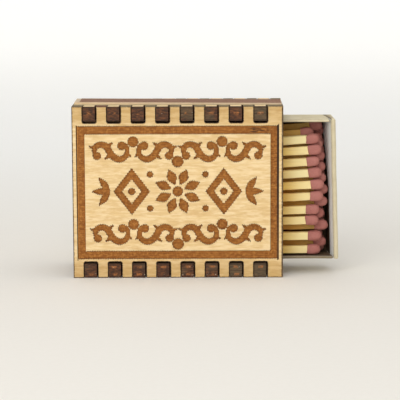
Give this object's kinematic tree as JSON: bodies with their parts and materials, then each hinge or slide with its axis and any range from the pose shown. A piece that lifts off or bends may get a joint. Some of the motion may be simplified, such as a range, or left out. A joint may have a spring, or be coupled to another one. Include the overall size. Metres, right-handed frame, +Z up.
{
  "type": "matchbox",
  "caption": "Laser-cut plywood matchbox sleeve with finger joints and an engraved face, holding a sliding card drawer full of wooden matches.",
  "frame": {"origin": "centre of the sleeve's underside, where the box stands on its long narrow side", "axes": "-Y out of the engraved face, +X the way the drawer comes out, +Z up"},
  "size_m": [0.0687, 0.0208, 0.0448],
  "materials": {
    "engraved_plywood": "bare birch plywood, laser engraved brown",
    "plywood": "bare birch plywood with burnt cut edges",
    "striker": "matt reddish-brown abrasive coat on card",
    "card": "matt folded card",
    "match_splint": "bare split aspen",
    "match_head": "matt dipped match head"
  },
  "bodies": {
    "sleeve": {"front_panel": "engraved_plywood", "back_panel": "plywood", "top_panel": "plywood", "bottom_panel": "plywood", "striker_strip": "striker"},
    "drawer": {"drawer_tray": "card", "match_01": "match_splint", "match_02": "match_splint", "match_03": "match_splint", "match_04": "match_splint", "match_05": "match_splint", "match_06": "match_splint", "match_07": "match_splint", "match_08": "match_splint", "match_09": "match_splint", "match_10": "match_splint", "match_11": "match_splint", "match_12": "match_splint", "match_13": "match_splint", "match_14": "match_splint", "match_15": "match_splint", "match_16": "match_splint", "match_17": "match_splint", "match_18": "match_splint", "match_19": "match_splint", "match_20": "match_splint", "match_21": "match_splint", "match_22": "match_splint", "match_23": "match_splint", "match_24": "match_splint", "match_25": "match_splint", "match_26": "match_splint", "match_27": "match_splint", "match_28": "match_splint", "match_29": "match_splint", "match_30": "match_splint", "match_31": "match_splint", "match_32": "match_splint", "match_33": "match_splint", "match_34": "match_splint", "match_35": "match_splint", "match_36": "match_splint", "match_37": "match_splint", "match_38": "match_splint", "match_39": "match_splint", "match_40": "match_splint", "match_41": "match_splint"}
  },
  "joints": [
    {"name": "drawer_slide", "type": "slide", "parent": "sleeve", "child": "drawer", "axis": [1, 0, 0], "range_m": [-0.0513, 0.0207]}
  ]
}
